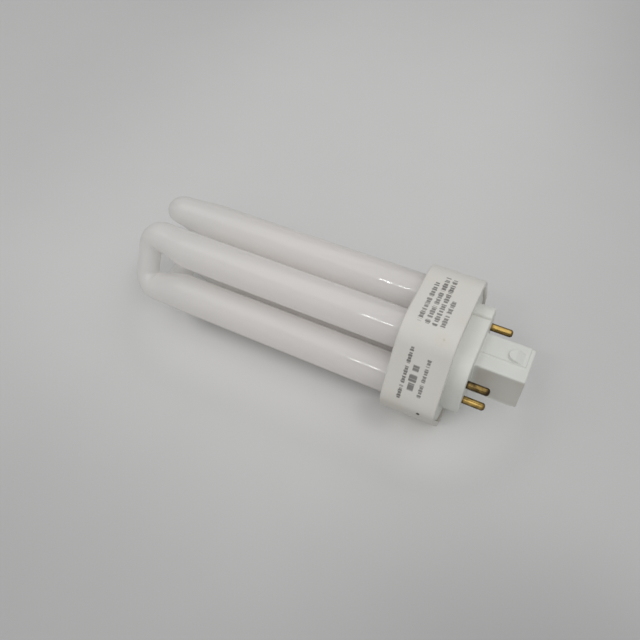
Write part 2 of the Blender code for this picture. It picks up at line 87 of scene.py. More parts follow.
class Signal:
    """A number that varies over a surface, for use in Python expressions."""

    def __init__(self, shader: "Shader", socket: bpy.types.NodeSocket) -> None:
        """Wrap an output socket of a shader's node."""
        self.shader = shader
        self.socket = socket

    def maths(self, operation: str, *operands: Value) -> "Signal":
        """The result of a Math node with the given operands."""
        settings = {"operation": operation}
        node = self.shader.node("ShaderNodeMath", settings, dict(enumerate(operands)))
        return Signal(self.shader, node.outputs[0])

    def __add__(self, other: Value) -> "Signal":
        """Sum."""
        return self.maths("ADD", self, other)

    def __radd__(self, other: float) -> "Signal":
        """Sum with a plain number on the left."""
        return self.maths("ADD", other, self)

    def __sub__(self, other: Value) -> "Signal":
        """Difference."""
        return self.maths("SUBTRACT", self, other)

    def __rsub__(self, other: float) -> "Signal":
        """Difference from a plain number."""
        return self.maths("SUBTRACT", other, self)

    def __mul__(self, other: Value) -> "Signal":
        """Product."""
        return self.maths("MULTIPLY", self, other)

    def __rmul__(self, other: float) -> "Signal":
        """Product with a plain number on the left."""
        return self.maths("MULTIPLY", other, self)

    def __truediv__(self, other: Value) -> "Signal":
        """Quotient."""
        return self.maths("DIVIDE", self, other)

    def fraction(self) -> "Signal":
        """Part after the decimal point."""
        return self.maths("FRACT", self)

    def distance(self, centre: float) -> "Signal":
        """Distance from a value, without its sign."""
        return self.maths("ABSOLUTE", self - centre)

    def root(self) -> "Signal":
        """Square root."""
        return self.maths("SQRT", self)

    def larger(self, other: Value) -> "Signal":
        """The larger of two values."""
        return self.maths("MAXIMUM", self, other)

    def rise(self, low: float, high: float) -> "Signal":
        """Ease from 0 to 1 as the value goes from low to high."""
        settings = {"interpolation_type": "SMOOTHSTEP", "clamp": True}
        inputs = {"Value": self, "From Min": low, "From Max": high}
        node = self.shader.node("ShaderNodeMapRange", settings, inputs)
        return Signal(self.shader, node.outputs[0])

    def fall(self, low: float, high: float) -> "Signal":
        """Ease from 1 to 0 as the value goes from low to high."""
        return 1.0 - self.rise(low, high)

    def band(self, low: float, high: float, soft: float) -> "Signal":
        """1 between low and high, fading to 0 over a soft margin at each end."""
        return self.rise(low - soft, low + soft) * self.fall(high - soft, high + soft)


class Shader:
    """One procedural material and the nodes that it is made of."""

    def __init__(
        self, owner: "bpy.types.Material | bpy.types.World", surface: str = "Principled BSDF"
    ) -> None:
        """Take over the node tree of a material or world, whose main node is the surface."""
        owner.use_nodes = True
        self.owner = owner
        self.nodes = owner.node_tree.nodes
        self.links = owner.node_tree.links
        self.surface = self.nodes[surface]

    @classmethod
    def material(cls, name: str) -> "Shader":
        """Start a material with a Principled surface."""
        return cls(bpy.data.materials.new(name))

    def node(
        self, kind: str, settings: dict | None = None, inputs: dict | None = None
    ) -> bpy.types.Node:
        """Add a node.

        Args:
            kind: The node's type.
            settings: Its properties, which are set first.
            inputs: Values or links of its sockets, by name or place.

        Returns:
            The new node.
        """
        node = self.nodes.new(kind)
        for name, value in (settings or {}).items():
            setattr(node, name, value)
        for key, value in (inputs or {}).items():
            self.feed(node.inputs[key], value)
        return node

    def feed(self, socket: bpy.types.NodeSocket, value: Input) -> None:
        """Link a signal to a socket, or set the socket to a plain value."""
        if isinstance(value, Signal):
            self.links.new(value.socket, socket)
        elif isinstance(value, tuple) and len(value) == 3 and socket.type == "RGBA":
            socket.default_value = (*value, 1.0)
        else:
            socket.default_value = value

    def surface_point(self) -> Signal:
        """Object coordinates, which are the frame's own in metres."""
        return Signal(self, self.node("ShaderNodeTexCoord").outputs["Object"])

    def position(self) -> tuple[Signal, Signal, Signal]:
        """The surface point's X, Y and Z."""
        split = self.node("ShaderNodeSeparateXYZ", inputs={0: self.surface_point()})
        return tuple(Signal(self, output) for output in split.outputs)

    def noise(
        self, size: float, detail: float = 2.0, stretch: Point = (1.0, 1.0, 1.0)
    ) -> Signal:
        """Cloudy noise around 0.5.

        Args:
            size: Length of one cloud.
            detail: Number of finer layers.
            stretch: How much longer the clouds are along each axis.

        Returns:
            The noise's value.
        """
        scale = tuple(1.0 / (size * length) for length in stretch)
        place = {"Vector": self.surface_point(), "Scale": scale}
        mapped = Signal(self, self.node("ShaderNodeMapping", inputs=place).outputs[0])
        inputs = {"Vector": mapped, "Scale": 1.0, "Detail": detail}
        return Signal(self, self.node("ShaderNodeTexNoise", inputs=inputs).outputs[0])

    def mix(self, factor: Value, first: Paint, second: Paint) -> Signal:
        """Blend from a first colour to a second one as the factor goes from 0 to 1."""
        settings = {"data_type": "RGBA", "clamp_factor": True}
        node = self.node("ShaderNodeMix", settings, {0: factor, 6: first, 7: second})
        return Signal(self, node.outputs[2])

    def bump(self, height: Signal, depth: float, strength: float = 1.0) -> None:
        """Feed the surface's normal with a height, whose full range is a depth."""
        inputs = {"Height": height, "Distance": depth, "Strength": strength}
        node = self.node("ShaderNodeBump", inputs=inputs)
        self.feed(self.surface.inputs["Normal"], Signal(self, node.outputs[0]))

    def moulded_grain(self) -> None:
        """Give a plastic the fine grain of its mould."""
        self.bump(self.noise(0.25 * MM), 0.01 * MM, 0.6)

    def let_through(self, share: float, tint: Paint) -> None:
        """Let a share of the light pass and scatter, as a thin white coat does."""
        (output,) = [node for node in self.nodes if node.type == "OUTPUT_MATERIAL"]
        passing = self.node("ShaderNodeBsdfTranslucent", inputs={"Color": tint})
        blend = self.node("ShaderNodeMixShader", inputs={0: share})
        self.links.new(self.surface.outputs[0], blend.inputs[1])
        self.links.new(passing.outputs[0], blend.inputs[2])
        self.links.new(blend.outputs[0], output.inputs["Surface"])

    def dress(self, **inputs: Input) -> bpy.types.Material:
        """Set the Principled surface's sockets, named with _ for a space.

        Returns:
            The finished material.
        """
        for name, value in inputs.items():
            label = name.replace("_", " ").title().replace("Ior", "IOR")
            self.feed(self.surface.inputs[label], value)
        return self.owner


@dataclass(frozen=True)
class Spot:
    """A soft round spot: its centre, where its fading starts and ends, and its strength."""

    centre: Point
    inner: float
    outer: float
    strength: float = 1.0

    def mask(self, shader: Shader) -> Signal:
        """The strength up to the inner radius, fading to 0 at the outer one."""
        squares = []
        for axis, place in zip(shader.position(), self.centre):
            offset = axis - place
            squares.append(offset * offset)
        distance = (squares[0] + squares[1] + squares[2]).root()
        return distance.fall(self.inner, self.outer) * self.strength


@dataclass(frozen=True)
class Zone:
    """A range of places over which a shade comes in or goes out, and its strength."""

    low: float
    high: float
    strength: float

    def beyond(self, place: Signal) -> Signal:
        """Shade that comes in from low to high."""
        return place.rise(self.low, self.high) * self.strength

    def before(self, place: Signal) -> Signal:
        """Shade that goes out from low to high."""
        return place.fall(self.low, self.high) * self.strength


# ---------------------------------------------------------------- set-out and surfaces


def coords(*parts: "float | np.ndarray") -> np.ndarray:
    """Coordinates as the last axis of one array, with single numbers repeated to fit."""
    return np.stack(np.broadcast_arrays(*parts), axis=-1)


def unit(vectors: np.ndarray) -> np.ndarray:
    """Vectors (..., n) brought to length 1."""
    return vectors / np.linalg.norm(vectors, axis=-1, keepdims=True)


def quarter(steps: int) -> np.ndarray:
    """Angles from 0 to a quarter turn in even steps."""
    return np.linspace(0.0, QUARTER_TURN, steps + 1)


def full_turn(count: int) -> np.ndarray:
    """Angles of a number of points evenly round a circle."""
    return np.linspace(0.0, math.tau, count, endpoint=False)


def ray(angles: np.ndarray) -> np.ndarray:
    """Unit vectors (cos a, sin a)."""
    return coords(np.cos(angles), np.sin(angles))


def arc(
    centre: Sequence[float], radius: float, start: float, end: float, steps: int
) -> np.ndarray:
    """Points round a centre from a start to an end angle in radians."""
    return radius * ray(np.linspace(start, end, steps + 1)) + centre


def turned(offsets: np.ndarray, angle: float) -> np.ndarray:
    """Offsets (..., 2) turned about the axis by an angle in radians."""
    cosine, sine = math.cos(angle), math.sin(angle)
    return offsets @ np.array([[cosine, sine], [-sine, cosine]])


def smoothstep(share: np.ndarray) -> np.ndarray:
    """Ease from 0 to 1 with a level start and end: 3 s^2 - 2 s^3."""
    return share * share * (3.0 - 2.0 * share)


@dataclass(frozen=True)
class Layout:
    """Places that every piece of the lamp is set out from."""

    seat_x: float = 49.8 * MM
    limb_pitch: float = 14.8 * MM
    limb_radius: float = 6.0 * MM
    corner_radius: float = 9.6 * MM
    collar_front_x: float = 28.4 * MM
    collar_rear_x: float = 44.9 * MM
    limb_root_x: float = 38.8 * MM
    glass_tip_x: float = -64.5 * MM
    pin_length: float = 6.7 * MM
    row_span: float = 23.0 * MM
    pair_pitch: float = 8.0 * MM

    @property
    def axis_z(self) -> float:
        """Height of the lamp's axis over the floor, which is its distance from each flat."""
        return self.limb_pitch * math.cos(math.pi / 6) + self.corner_radius

    def limb(self, index: int) -> np.ndarray:
        """Offset (y, z) of a limb from the axis: the pitch along 60 degrees times its index."""
        return self.limb_pitch * ray(SIXTH_TURN * index)

    def place(self, x: "float | np.ndarray", offsets: np.ndarray) -> np.ndarray:
        """Points (..., 3) at positions along the axis and (y, z) offsets (..., 2) from it."""
        return coords(x, offsets[..., 0], offsets[..., 1] + self.axis_z)


def rounded_polygon(corners: np.ndarray, radii: Sequence[float], steps: int) -> np.ndarray:
    """Closed outline of a polygon with an arc at each corner.

    At a corner with the half angle h between its sides, the arc's centre lies r / sin h along the
    bisector, and the arc starts r / tan h from the corner. Its points turn evenly from one to the
    other: sin((1 - s) w) / sin w times the first spoke plus sin(s w) / sin w times the second.

    Args:
        corners: Array (n, 2) of the corners in order.
        radii: Radius of each corner.
        steps: Number of facets of each arc.

    Returns:
        Array (n * (steps + 1), 2) of outline points.
    """
    before = unit(np.roll(corners, 1, axis=0) - corners)
    after = unit(np.roll(corners, -1, axis=0) - corners)
    half = np.arccos(np.clip((before * after).sum(1), -1.0, 1.0)) / 2
    radius = np.asarray(radii, float)
    centre = corners + unit(before + after) * (radius / np.sin(half))[:, None]
    reach = (radius / np.tan(half))[:, None]
    first = (corners + before * reach - centre)[:, None, :]
    second = (corners + after * reach - centre)[:, None, :]
    sweep = (math.pi - 2 * half)[:, None, None]
    share = np.linspace(0.0, 1.0, steps + 1)[None, :, None]
    spokes = np.sin((1 - share) * sweep) * first + np.sin(share * sweep) * second
    return (centre[:, None, :] + spokes / np.sin(sweep)).reshape(-1, 2)


def even_rectangle(half: np.ndarray, corner: float, count: int) -> np.ndarray:
    """Rounded rectangle as points at even steps along its length, from its +Y side on."""
    signs = np.array([[1, 1], [-1, 1], [-1, -1], [1, -1]])
    loop = rounded_polygon(signs * half, [corner] * 4, steps=12)
    start = np.array([[half[0], 0.0]])
    path = np.concatenate([start, loop, start])
    lengths = np.linalg.norm(np.diff(path, axis=0), axis=1)
    reach = np.concatenate([[0.0], np.cumsum(lengths)])
    at = np.linspace(0.0, reach[-1], count, endpoint=False)
    return coords(np.interp(at, reach, path[:, 0]), np.interp(at, reach, path[:, 1]))


def inset(loop: np.ndarray, distance: float) -> np.ndarray:
    """An anticlockwise outline moved inwards, or outwards by a negative distance.

    Each point moves along the sum of its two sides' normals, divided by one plus their dot
    product, so that both sides move by the full distance.
    """
    sides = unit(np.roll(loop, -1, axis=0) - loop)
    inward = coords(-sides[:, 1], sides[:, 0])
    previous = np.roll(inward, 1, axis=0)
    return loop + distance * (inward + previous) / (1.0 + (inward * previous).sum(1))[:, None]


def rim(
    outline: Callable[[float], np.ndarray], wall_x: float, face_x: float, radius: float
) -> list[Row]:
    """Rows of a quarter round between a wall and a face.

    At the angle a the row lies r (1 - sin a) short of the face and r (1 - cos a) inside the wall.

    Args:
        outline: Gives the wall's outline, moved inwards by a distance.
        wall_x: A position on the wall's side of the face.
        face_x: Position of the face.
        radius: Radius of the round.

    Returns:
        Rows of (x, outline), from the wall to the face.
    """
    toward = math.copysign(radius, face_x - wall_x)
    return [
        (face_x - toward * (1 - math.sin(a)), outline(radius * (1 - math.cos(a))))
        for a in quarter(RIM_STEPS)
    ]


def drawn_in(loop: np.ndarray, centre: Sequence[float], share: float) -> np.ndarray:
    """An outline drawn towards a centre, down to a share of its size."""
    return centre + (loop - centre) * share


def cap(x: float, loop: np.ndarray, centre: Sequence[float] = (0.0, 0.0)) -> list[Row]:
    """Rows that close a flat outline onto a centre."""
    return [(x, drawn_in(loop, centre, share)) for share in CAP_SHARES]


class Shell:
    """Grids of points that are welded into one mesh."""

    def __init__(self) -> None:
        """Start with no grid."""
        self.points: list[np.ndarray] = []
        self.quads: list[np.ndarray] = []
        self.count = 0

    def grid(self, points: np.ndarray) -> None:
        """Add the quads of a grid (rows, columns, 3) whose last column joins its first."""
        rows, columns = points.shape[:2]
        index = self.count + np.arange(rows * columns).reshape(rows, columns)
        right = np.roll(index, -1, axis=1)
        quads = np.stack([index[:-1], right[:-1], right[1:], index[1:]], axis=-1)
        self.points.append(points.reshape(-1, 3))
        self.quads.append(quads.reshape(-1, 4))
        self.count += rows * columns

    def loft(self, layout: Layout, rows: Sequence[Row]) -> None:
        """Add a wall carried through outlines of equal count along the axis."""
        self.grid(np.stack([layout.place(x, loop) for x, loop in rows]))

    def piece(
        self, name: str, material: bpy.types.Material, sharp_angle: float
    ) -> bpy.types.Object:
        """Weld the grids into an object at the origin, with its faces outwards.

        Args:
            name: The piece's name.
            material: Its material.
            sharp_angle: Angle in degrees above which an edge stays crisp.

        Returns:
            The object, which rides on the root body.
        """
        points, quads = np.concatenate(self.points), np.concatenate(self.quads)
        mesh = bpy.data.meshes.new(name)
        mesh.vertices.add(len(points))
        mesh.vertices.foreach_set("co", points.astype(np.float32).ravel())
        mesh.loops.add(quads.size)
        mesh.loops.foreach_set("vertex_index", quads.astype(np.int32).ravel())
        mesh.polygons.add(len(quads))
        mesh.polygons.foreach_set("loop_start", np.arange(0, quads.size, 4, dtype=np.int32))
        mesh.update(calc_edges=True)
        working = bmesh.new()
        working.from_mesh(mesh)
        bmesh.ops.remove_doubles(working, verts=working.verts, dist=WELD_DISTANCE)
        bmesh.ops.dissolve_degenerate(working, edges=working.edges, dist=WELD_DISTANCE / 4)
        bmesh.ops.recalc_face_normals(working, faces=working.faces)
        working.to_mesh(mesh)
        working.free()
        mesh.materials.append(material)
        mesh.shade_smooth()
        mesh.set_sharp_from_angle(angle=math.radians(sharp_angle))
        piece = bpy.data.objects.new(name, mesh)
        bpy.context.scene.collection.objects.link(piece)
        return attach(piece, "root")


def even_normals(piece: bpy.types.Object) -> None:
    """Let the large flat faces set the shading where they meet a round."""
    modifier = piece.modifiers.new("even_normals", "WEIGHTED_NORMAL")
    modifier.keep_sharp = True
    modifier.weight = FLAT_FACE_WEIGHT


# ---------------------------------------------------------------- finishes


@dataclass(frozen=True)
class CoatedGlass:
    """Clear glass tube with a thin white powder coat that lets some light through."""

    white: Colour = (0.985, 0.964, 0.950)
    thin: Colour = (0.935, 0.930, 0.915)
    passing: float = 0.48
    cloud_size: float = 14 * MM
    streak_size: float = 3 * MM
    streak_stretch: Point = (9.0, 1.0, 1.0)
    thinned: Zone = Zone(6 * MM, 50 * MM, 0.60)
    clear_skin_ior: float = 1.8

    def material(self, layout: Layout) -> bpy.types.Material:
        """Cloudy coat under a glossy clear skin, thinner and a little cooler at the bends."""
        shader = Shader.material("coated_glass")
        along, _, _ = shader.position()
        cloud = shader.noise(self.cloud_size, 3.0).rise(0.35, 0.75)
        streak = shader.noise(self.streak_size, 2.0, self.streak_stretch).rise(0.45, 0.8)
        bend = self.thinned.before(along - layout.glass_tip_x)
        paint = shader.mix(cloud * 0.16 + streak * 0.10 + bend, self.white, self.thin)
        shader.let_through(self.passing, paint)
        return shader.dress(
            base_color=paint,
            roughness=0.42 + cloud * 0.08,
            coat_weight=1.0,
            coat_roughness=0.02,
            coat_ior=self.clear_skin_ior,
            specular_ior_level=0.35,
        )


@dataclass(frozen=True)
class PrintRow:
    """One row of plain printed blocks on a facet: its place along the lamp and its run across."""

    along: float
    start: float
    end: float
    height: float
    block: float
    word: float
    phase: float


@dataclass(frozen=True)
class CollarPlastic:
    """Warm white moulded plastic with plain grey printed blocks, smudges and one dark speck."""

    white: Colour = (0.752, 0.733, 0.688)
    # Painted shade: a darker copy of the white for the collar's lower part.
    painted_low_shade: Colour = (0.625, 0.603, 0.555)
    beige: Colour = (0.66, 0.62, 0.51)
    ink: Colour = (0.13, 0.125, 0.12)
    speck: Colour = (0.05, 0.045, 0.04)
    cloud_size: float = 9 * MM
    fleck_size: float = 1.6 * MM
    # Heights over which the painted shade of the lower part comes in.
    painted_low_shade_span: Span = (-0.5 * MM, 2.5 * MM)
    front_lean: float = math.radians(150.0)
    print_depth: float = 0.25 * MM
    print_fade: float = 0.10 * MM
    top_smudge: Spot = Spot((40.5 * MM, -12.8 * MM, 44.0 * MM), 0.4 * MM, 3.4 * MM)
    front_smudge: Spot = Spot((35.2 * MM, -24.4 * MM, 22.8 * MM), 0.1 * MM, 0.7 * MM, 1.5)
    dark_speck: Spot = Spot((40.3 * MM, -24.39 * MM, 22.7 * MM), 0.35 * MM, 0.65 * MM)
    upper_rows: tuple[PrintRow, ...] = (
        PrintRow(32.7 * MM, -9.9 * MM, 5.2 * MM, 1.5 * MM, 0.95 * MM, 4.3 * MM, 0.15),
        PrintRow(35.0 * MM, -9.9 * MM, 8.2 * MM, 1.5 * MM, 0.90 * MM, 5.2 * MM, 0.55),
        PrintRow(37.1 * MM, -10.0 * MM, 8.0 * MM, 1.5 * MM, 0.95 * MM, 3.7 * MM, 0.35),
        PrintRow(39.3 * MM, -10.0 * MM, 0.4 * MM, 1.5 * MM, 0.90 * MM, 5.9 * MM, 0.80),
    )
    front_rows: tuple[PrintRow, ...] = (
        PrintRow(33.7 * MM, -8.1 * MM, 8.9 * MM, 1.2 * MM, 0.85 * MM, 6.1 * MM, 0.30),
        PrintRow(36.2 * MM, -2.9 * MM, 5.4 * MM, 2.3 * MM, 2.80 * MM, 9.9 * MM, 0.02),
        PrintRow(39.2 * MM, -5.6 * MM, 6.8 * MM, 1.2 * MM, 0.85 * MM, 4.9 * MM, 0.60),
    )

    def blocks(self, along: Signal, across: Signal, row: PrintRow) -> Signal:
        """Mask of one row: blocks of uneven width and two heights, with gaps between groups.

        Repeats of unlike pitch are multiplied, so that neither blocks nor gaps look even.
        """

        def repeat(pitch: float, phase: float, low: float, high: float, soft: float) -> Signal:
            """1 between two shares of every pitch."""
            return (across / pitch + phase).fraction().band(low, high, soft)

        def strip(below: float, above: float) -> Signal:
            """1 between two shares of the row's height below and above its middle."""
            low, high = row.along - below * row.height, row.along + above * row.height
            return along.band(low, high, self.print_fade)

        tall = strip(0.50, 0.50) * repeat(1.9 * row.block, row.phase, 0.1, 0.5, 0.06)
        coarse = repeat(row.block, row.phase, 0.07, 0.93, 0.08)
        fine = repeat(0.63 * row.block, 3.0 * row.phase, 0.06, 0.94, 0.08)
        word = repeat(row.word, row.phase, 0.05, 0.93, 0.03)
        short_word = repeat(0.62 * row.word, 2.0 * row.phase, 0.04, 0.94, 0.03)
        strips = strip(0.36, 0.42).larger(tall) * across.band(row.start, row.end, self.print_fade)
        return strips * coarse * (fine * 0.4 + 0.6) * word * short_word

    def material(self, layout: Layout) -> bpy.types.Material:
        """Satin plastic with faint clouds, beige smudges, a speck, the printed blocks and painted
        shade low down.

        The front facet looks along (cos a, sin a) of its lean, and down it runs the same
        direction turned on by a quarter.
        """
        shader = Shader.material("warm_white_plastic")
        along, across, up = shader.position()
        height = up - layout.axis_z
        cosine, sine = math.cos(self.front_lean), math.sin(self.front_lean)
        outward = across * cosine + height * sine
        down = across * -sine + height * cosine
        skin = layout.axis_z - self.print_depth
        upper, front = (side.rise(skin - self.print_fade, skin) for side in (height, outward))
        ink = sum((self.blocks(along, across, row) for row in self.upper_rows), 0.0) * upper
        ink = ink + sum((self.blocks(along, down, row) for row in self.front_rows), 0.0) * front
        cloud = shader.noise(self.cloud_size, 3.0).rise(0.4, 0.8)
        fleck = shader.noise(self.fleck_size, 3.0).rise(0.62, 0.75)
        smudge = self.top_smudge.mask(shader) + self.front_smudge.mask(shader)
        soil = cloud * 0.18 + fleck * 0.06 + smudge * fleck * 1.2 + smudge * 0.2
        # Painted shade: the collar is darker below about the axis's height, standing in for shade
        # on its lower faces.
        colour = shader.mix(height.fall(*self.painted_low_shade_span), self.white, self.painted_low_shade)
        colour = shader.mix(soil, colour, self.beige)
        colour = shader.mix(ink * (0.78 + cloud * 0.2), colour, self.ink)
        shader.moulded_grain()
        return shader.dress(
            base_color=shader.mix(self.dark_speck.mask(shader), colour, self.speck),
            roughness=0.46 + cloud * 0.10 - ink * 0.06,
            specular_ior_level=0.4,
        )


@dataclass(frozen=True)
class BasePlastic:
    """Cool white moulded plastic of the base cap."""

    white: Colour = (0.735, 0.747, 0.706)
    # Painted light: a lighter white for the upper part of the plateau.
    painted_top_light: Colour = (0.805, 0.81, 0.765)
    worn: Colour = (0.62, 0.62, 0.575)
    # Painted shade: a darker, warmer colour for the guide post's sides.
    painted_side_shade: Colour = (0.575, 0.545, 0.49)
    cloud_size: float = 8 * MM
    scuff_size: float = 0.9 * MM
    scuff_stretch: Point = (6.0, 1.0, 1.0)
    foot_fade: float = 2 * MM
    seat_fade: float = 1 * MM
    # Distances from the axis for the painted side shade, and heights for the painted light.
    painted_side_shade_span: Span = (5.6 * MM, 6.8 * MM)
    painted_top_light_span: Span = (17 * MM, 27 * MM)

    def material(self, layout: Layout) -> bpy.types.Material:
        """Satin plastic with faint flow clouds; scuffs, and painted shade on the sides, on the
        guide post;
        painted light on the upper part of the plateau.

        The span of the painted side shade is a distance from the axis up or down, and the span of
        the painted light a height.
        """
        shader = Shader.material("cool_white_plastic")
        along, _, up = shader.position()
        cloud = shader.noise(self.cloud_size, 3.0).rise(0.4, 0.8)
        scuff = shader.noise(self.scuff_size, 4.0, self.scuff_stretch).rise(0.60, 0.74)
        on_post = along.rise(layout.seat_x, layout.seat_x + self.foot_fade)
        # Painted shade on the post's sides; its top and underside stay clear.
        side = up.distance(layout.axis_z).fall(*self.painted_side_shade_span)
        # Painted light on the plateau's upper part, before the seat.
        before_seat = along.fall(layout.seat_x, layout.seat_x + self.seat_fade)
        painted_top_light = before_seat * up.rise(*self.painted_top_light_span)
        colour = shader.mix(painted_top_light, self.white, self.painted_top_light)
        colour = shader.mix(cloud * 0.16 + scuff * (0.08 + on_post * 0.16), colour, self.worn)
        colour = shader.mix(on_post * side * (0.65 + cloud * 0.3), colour, self.painted_side_shade)
        shader.moulded_grain()
        return shader.dress(
            base_color=colour,
            roughness=0.42 + cloud * 0.08 + scuff * 0.10,
            specular_ior_level=0.45,
        )


@dataclass(frozen=True)
class TarnishedBrass:
    """Turned brass, bright along its sides and brown at its tip and foot."""

    bright: Colour = (0.60, 0.41, 0.13)
    brown: Colour = (0.065, 0.045, 0.025)
    tip_length: float = 1.3 * MM
    foot_length: float = 0.9 * MM
    patch_size: float = 2.2 * MM
    scratch_size: float = 0.22 * MM
    scratch_stretch: Point = (16.0, 1.0, 1.0)
    # Painted shade on each pin's underside and back: spans of the place within a pin.
    below: Span = (-0.03, 0.07)
    behind: Span = (0.010, 0.036)
    dull_radii: Span = (4 * MM, 5 * MM)

    def material(self, layout: Layout) -> bpy.types.Material:
        """Metal with patches of tarnish and drawn scratches, brown at ends, with painted shade
        below and behind.

        The pins lie one pitch apart in height and in width, so the place within a pin is the
        remainder of the height, or of the width, over that pitch. Below and behind are spans
        of that share, over which the painted shade comes in. One whole pin is duller than the
        others.
        """
        shader = Shader.material("tarnished_brass")
        along, across, up = shader.position()
        within = ((up - layout.axis_z) / layout.pair_pitch + 1.0).fraction() - 0.5
        beside = (across / layout.row_span + 1.0).fraction() - 0.5
        patch = shader.noise(self.patch_size, 4.0).rise(0.42, 0.72)
        scratch = shader.noise(self.scratch_size, 2.0, self.scratch_stretch)
        end_x = layout.seat_x + layout.pin_length
        tip = along.rise(end_x - self.tip_length, end_x)
        foot = along.fall(layout.seat_x, layout.seat_x + self.foot_length)
        dull_x, dull_z = layout.seat_x + 4 * MM, layout.axis_z + layout.pair_pitch / 2
        dull_pin = Spot((dull_x, -layout.row_span / 2, dull_z), *self.dull_radii, 0.55)
        # Painted shade darkens each pin's underside and back.
        painted_shade = within.fall(*self.below).larger(beside.rise(*self.behind))
        tarnish = patch * 0.4 + tip * 0.6 + foot * 0.5 + scratch.rise(0.55, 0.8) * 0.2
        tarnish = tarnish + painted_shade * 0.85 + dull_pin.mask(shader)
        shader.bump(scratch, 0.02 * MM, 0.5)
        return shader.dress(
            base_color=shader.mix(tarnish, self.bright, self.brown),
            roughness=0.20 + patch * 0.14 + tip * 0.14,
            metallic=1.0,
        )


@dataclass(frozen=True)
class BasingCement:
    """Grey-white basing cement."""

    pale: Colour = (0.74, 0.72, 0.68)
    dark: Colour = (0.56, 0.54, 0.50)
    grit_size: float = 0.5 * MM
    grit_depth: float = 0.12 * MM

    def material(self) -> bpy.types.Material:
        """Matte, gritty and uneven."""
        shader = Shader.material("basing_cement")
        grit = shader.noise(self.grit_size, 5.0)
        shader.bump(grit, self.grit_depth)
        colour = shader.mix(grit.rise(0.4, 0.75), self.pale, self.dark)
        return shader.dress(base_color=colour, roughness=0.92, specular_ior_level=0.2)


@dataclass(frozen=True)
class DrawnWire:
    """Plated lead wire."""

    plating: Colour = (0.62, 0.60, 0.56)
    dull: Colour = (0.40, 0.38, 0.35)
    patch_size: float = 1.2 * MM
    line_size: float = 0.08 * MM
    line_stretch: Point = (12.0, 1.0, 1.0)

    def material(self) -> bpy.types.Material:
        """Metal with fine draw lines and dull patches."""
        shader = Shader.material("lead_wire_metal")
        dull = shader.noise(self.patch_size, 3.0).rise(0.4, 0.7)
        shader.bump(shader.noise(self.line_size, 1.0, self.line_stretch), 0.01 * MM)
        colour = shader.mix(dull, self.plating, self.dull)
        return shader.dress(base_color=colour, roughness=0.32 + dull * 0.15, metallic=1.0)


@dataclass(frozen=True)
class PaperFloor:
    """Matte pale grey surface that the lamp lies on."""

    # Middle and edge greys of a painted falloff of light outwards.
    middle: Colour = (0.705, 0.705, 0.70)
    edge: Colour = (0.455, 0.455, 0.455)
    # Painted light: a lighter grey beside the lamp.
    painted_light: Colour = (0.94, 0.94, 0.935)
    # Painted shadow: a darker grey beneath the lamp and at the shaded spots.
    painted_shadow: Colour = (0.50, 0.50, 0.49)
    far: Colour = (0.72, 0.72, 0.72)
    # Zones of the painted falloff of light towards the floor's sides.
    front: Zone = Zone(-0.13, 0.0, 0.75)
    back: Zone = Zone(0.14, 0.32, 0.25)
    right: Zone = Zone(0.0, 0.12, 0.40)
    left: Zone = Zone(-0.20, -0.08, 0.30)
    front_right: Zone = Zone(-0.07, -0.01, 0.28)
    back_right: Zone = Zone(0.10, 0.22, 0.25)
    outside: Zone = Zone(0.40, 0.85, 1.0)
    corner_span: Span = (0.0, 0.10)
    # Spans of the painted light beside the lamp and of the painted shadow beneath it, from the
    # lamp's footprint line.
    painted_light_span: Span = (12 * MM, 38 * MM)
    shade_span: Span = (3 * MM, 16 * MM)
    shade_middle: float = -3 * MM
    shade_half_length: float = 40 * MM
    mottle_size: float = 25 * MM
    # Painted shadows beyond the glass bends and beside the collar.
    bend_shade: Spot = Spot((-70 * MM, 5 * MM, 0.0), 6 * MM, 22 * MM, 0.50)
    collar_shade: Spot = Spot((25 * MM, -16 * MM, 0.0), 2 * MM, 10 * MM, 0.30)

    def material(self) -> bpy.types.Material:
        """Pale grey with painted light and shade: painted light beside the lamp, a painted
        falloff of light outwards, most towards the front, and painted shadow beneath the lamp and
        at two spots.

        The gap is the distance from a line beneath the lamp: the root of the sum of the squares
        of the distance past the line's end and of the distance across.
        """
        shader = Shader.material("pale_floor")
        along, across, _ = shader.position()
        # Painted falloff of light: the grey darkens outwards, most towards the front.
        corner = self.front_right.before(across) + self.back_right.beyond(across)
        dimming = self.front.before(across) + self.back.beyond(across)
        dimming = dimming + self.right.beyond(along) + self.left.before(along)
        dimming = dimming + along.rise(*self.corner_span) * corner
        past_end = (along.distance(self.shade_middle) - self.shade_half_length).larger(0.0)
        gap = (past_end * past_end + across * across).root()
        # Painted shadow along the lamp's footprint and at the two spots.
        shade = gap.fall(*self.shade_span)
        for spot in (self.bend_shade, self.collar_shade):
            shade = shade.larger(spot.mask(shader))
        mottle = shader.noise(self.mottle_size, 3.0).rise(0.3, 0.8)
        colour = shader.mix(dimming + mottle * 0.03, self.middle, self.edge)
        distance = (along * along + across * across).root()
        colour = shader.mix(self.outside.beyond(distance), colour, self.far)
        # Painted light beside the lamp, then painted shadow beneath it.
        colour = shader.mix(gap.fall(*self.painted_light_span), colour, self.painted_light)
        colour = shader.mix(shade, colour, self.painted_shadow)
        return shader.dress(base_color=colour, roughness=0.8, specular_ior_level=0.15)


# ---------------------------------------------------------------- sub-assemblies


